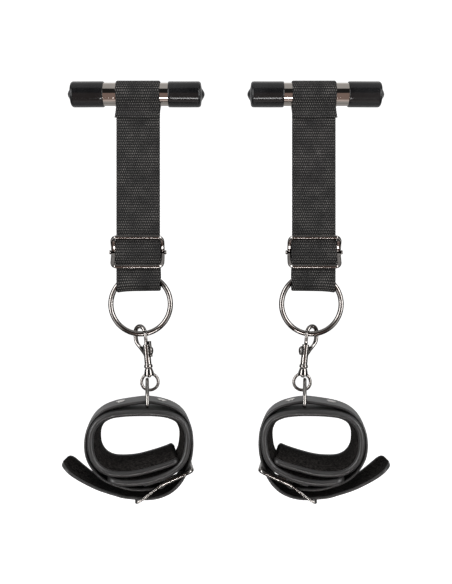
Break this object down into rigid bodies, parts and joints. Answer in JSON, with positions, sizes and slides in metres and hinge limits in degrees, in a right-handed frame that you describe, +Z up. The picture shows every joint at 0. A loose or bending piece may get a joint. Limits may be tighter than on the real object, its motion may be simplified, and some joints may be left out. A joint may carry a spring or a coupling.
{
  "type": "door anchor cuff strap pair",
  "caption": "Pair of short anchor tubes carrying adjustable webbing straps with O-rings, swivel snap hooks and padded buckled cuffs.",
  "frame": {"origin": "midway between the axes of the two anchor tubes, at the middle of their thickness", "axes": "+X along the tubes to the right, +Z up along the straps, +Y away from the front of the webbing"},
  "size_m": [0.2984, 0.0695, 0.3836],
  "materials": {
    "gunmetal_tube": "polished black nickel",
    "vinyl_cap": "gloss dipped vinyl",
    "webbing": "ribbed woven webbing",
    "gunmetal": "polished black nickel",
    "spring_steel": "drawn wire",
    "leatherette": "fine grain leatherette",
    "lining": "brushed suede"
  },
  "bodies": {
    "left_anchor": {"left_bar_tube": "gunmetal_tube", "left_bar_cap_outer": "vinyl_cap", "left_bar_cap_inner": "vinyl_cap"},
    "left_strap": {"left_strap_webbing": "webbing"},
    "left_ring_fold": {"left_strap_ring_fold": "webbing"},
    "left_slider": {"left_strap_sewn_end": "webbing", "left_slider_frame": "gunmetal", "left_slider_bar": "gunmetal"},
    "left_ring": {"left_o_ring": "gunmetal"},
    "left_hook": {"left_hook_body": "gunmetal", "left_hook_spring": "spring_steel", "left_swivel_rivet": "gunmetal"},
    "left_bolt": {"left_hook_bolt": "gunmetal"},
    "left_swivel": {"left_swivel_eye": "gunmetal"},
    "left_dee": {"left_cuff_d_ring": "gunmetal"},
    "left_cuff": {"left_cuff_pad": "leatherette", "left_cuff_lining": "lining", "left_cuff_strap": "leatherette", "left_cuff_rivets": "gunmetal", "left_buckle_frame": "gunmetal", "left_buckle_bar": "gunmetal"},
    "left_prong": {"left_buckle_prong": "gunmetal"},
    "left_tail": {"left_cuff_strap_tail": "leatherette"},
    "right_anchor": {"right_bar_tube": "gunmetal_tube", "right_bar_cap_outer": "vinyl_cap", "right_bar_cap_inner": "vinyl_cap"},
    "right_strap": {"right_strap_webbing": "webbing"},
    "right_ring_fold": {"right_strap_ring_fold": "webbing"},
    "right_slider": {"right_strap_sewn_end": "webbing", "right_slider_frame": "gunmetal", "right_slider_bar": "gunmetal"},
    "right_ring": {"right_o_ring": "gunmetal"},
    "right_hook": {"right_hook_body": "gunmetal", "right_hook_spring": "spring_steel", "right_swivel_rivet": "gunmetal"},
    "right_bolt": {"right_hook_bolt": "gunmetal"},
    "right_swivel": {"right_swivel_eye": "gunmetal"},
    "right_dee": {"right_cuff_d_ring": "gunmetal"},
    "right_cuff": {"right_cuff_pad": "leatherette", "right_cuff_lining": "lining", "right_cuff_strap": "leatherette", "right_cuff_rivets": "gunmetal", "right_buckle_frame": "gunmetal", "right_buckle_bar": "gunmetal"},
    "right_prong": {"right_buckle_prong": "gunmetal"},
    "right_tail": {"right_cuff_strap_tail": "leatherette"}
  },
  "joints": [
    {"name": "left_strap_swing", "type": "hinge", "parent": "left_anchor", "child": "left_strap", "pos_m": [-0.0826, 0, 0], "axis": [1, 0, 0], "range_deg": [-90, 90]},
    {"name": "left_ring_lift", "type": "slide", "parent": "left_strap", "child": "left_ring_fold", "axis": [0, 0, 1], "range_m": [0, 0.045], "deforming": ["left_strap_ring_fold"]},
    {"name": "left_slider_slide", "type": "slide", "parent": "left_ring_fold", "child": "left_slider", "axis": [0, 0, 1], "range_m": [0, 0.045]},
    {"name": "left_ring_swing", "type": "hinge", "parent": "left_ring_fold", "child": "left_ring", "pos_m": [-0.0789, 0.0033, -0.1746], "axis": [1, 0, 0], "range_deg": [-10, 10]},
    {"name": "left_hook_travel", "type": "hinge", "parent": "left_ring", "child": "left_hook", "pos_m": [-0.0789, 0.0033, -0.193], "axis": [0, 1, 0], "range_deg": [-14, 35]},
    {"name": "left_bolt_slide", "type": "slide", "parent": "left_hook", "child": "left_bolt", "axis": [0.0976, 0, -0.9952], "range_m": [0, 0.0075], "stiffness_N_per_m": 300, "springref_m": -0.004, "deforming": ["left_hook_spring"]},
    {"name": "left_swivel_spin", "type": "hinge", "parent": "left_hook", "child": "left_swivel", "pos_m": [-0.06994, -0.0009, -0.26424], "axis": [0.0976, 0, -0.9952], "continuous": true},
    {"name": "left_dee_rock", "type": "hinge", "parent": "left_swivel", "child": "left_dee", "pos_m": [-0.07239, -0.00117, -0.2838], "axis": [0.994, 0.1097, 0], "range_deg": [-25, 25]},
    {"name": "left_cuff_swing", "type": "hinge", "parent": "left_dee", "child": "left_cuff", "pos_m": [-0.07239, -0.00117, -0.2838], "axis": [-0.1097, 0.994, 0], "range_deg": [-35, 35]},
    {"name": "left_prong_tilt", "type": "hinge", "parent": "left_cuff", "child": "left_prong", "pos_m": [-0.05996, 0.0002, -0.3541], "axis": [-0.1097, 0.994, 0], "range_deg": [0, 5]},
    {"name": "left_tail_flex", "type": "hinge", "parent": "left_cuff", "child": "left_tail", "pos_m": [-0.09346, -0.0035, -0.3648], "axis": [-0.1097, 0.994, 0], "range_deg": [-12, 12], "stiffness_Nm_per_rad": 0.15},
    {"name": "anchor_spacing", "type": "slide", "parent": "left_anchor", "child": "right_anchor", "axis": [1, 0, 0], "range_m": [0, 0.4]},
    {"name": "right_strap_swing", "type": "hinge", "parent": "right_anchor", "child": "right_strap", "pos_m": [0.0826, 0, 0], "axis": [1, 0, 0], "range_deg": [-90, 90]},
    {"name": "right_ring_lift", "type": "slide", "parent": "right_strap", "child": "right_ring_fold", "axis": [0, 0, 1], "range_m": [0, 0.045], "deforming": ["right_strap_ring_fold"]},
    {"name": "right_slider_slide", "type": "slide", "parent": "right_ring_fold", "child": "right_slider", "axis": [0, 0, 1], "range_m": [0, 0.045]},
    {"name": "right_ring_swing", "type": "hinge", "parent": "right_ring_fold", "child": "right_ring", "pos_m": [0.0789, 0.0033, -0.1746], "axis": [1, 0, 0], "range_deg": [-10, 10]},
    {"name": "right_hook_travel", "type": "hinge", "parent": "right_ring", "child": "right_hook", "pos_m": [0.0789, 0.0033, -0.193], "axis": [0, 1, 0], "range_deg": [-35, 14]},
    {"name": "right_bolt_slide", "type": "slide", "parent": "right_hook", "child": "right_bolt", "axis": [-0.0976, 0, -0.9952], "range_m": [0, 0.0075], "stiffness_N_per_m": 300, "springref_m": -0.004, "deforming": ["right_hook_spring"]},
    {"name": "right_swivel_spin", "type": "hinge", "parent": "right_hook", "child": "right_swivel", "pos_m": [0.06994, -0.0009, -0.26424], "axis": [0.0976, 0, 0.9952], "continuous": true},
    {"name": "right_dee_rock", "type": "hinge", "parent": "right_swivel", "child": "right_dee", "pos_m": [0.07239, -0.00117, -0.2838], "axis": [0.994, -0.1097, 0], "range_deg": [-25, 25]},
    {"name": "right_cuff_swing", "type": "hinge", "parent": "right_dee", "child": "right_cuff", "pos_m": [0.07239, -0.00117, -0.2838], "axis": [0.1097, 0.994, 0], "range_deg": [-35, 35]},
    {"name": "right_prong_tilt", "type": "hinge", "parent": "right_cuff", "child": "right_prong", "pos_m": [0.05996, 0.0002, -0.3541], "axis": [-0.1097, -0.994, 0], "range_deg": [0, 5]},
    {"name": "right_tail_flex", "type": "hinge", "parent": "right_cuff", "child": "right_tail", "pos_m": [0.09346, -0.0035, -0.3648], "axis": [-0.1097, -0.994, 0], "range_deg": [-12, 12], "stiffness_Nm_per_rad": 0.15}
  ],
  "couplings": [
    {"joint": "left_slider_slide", "follows": "left_ring_lift", "ratio": 1},
    {"joint": "right_slider_slide", "follows": "right_ring_lift", "ratio": 1}
  ]
}
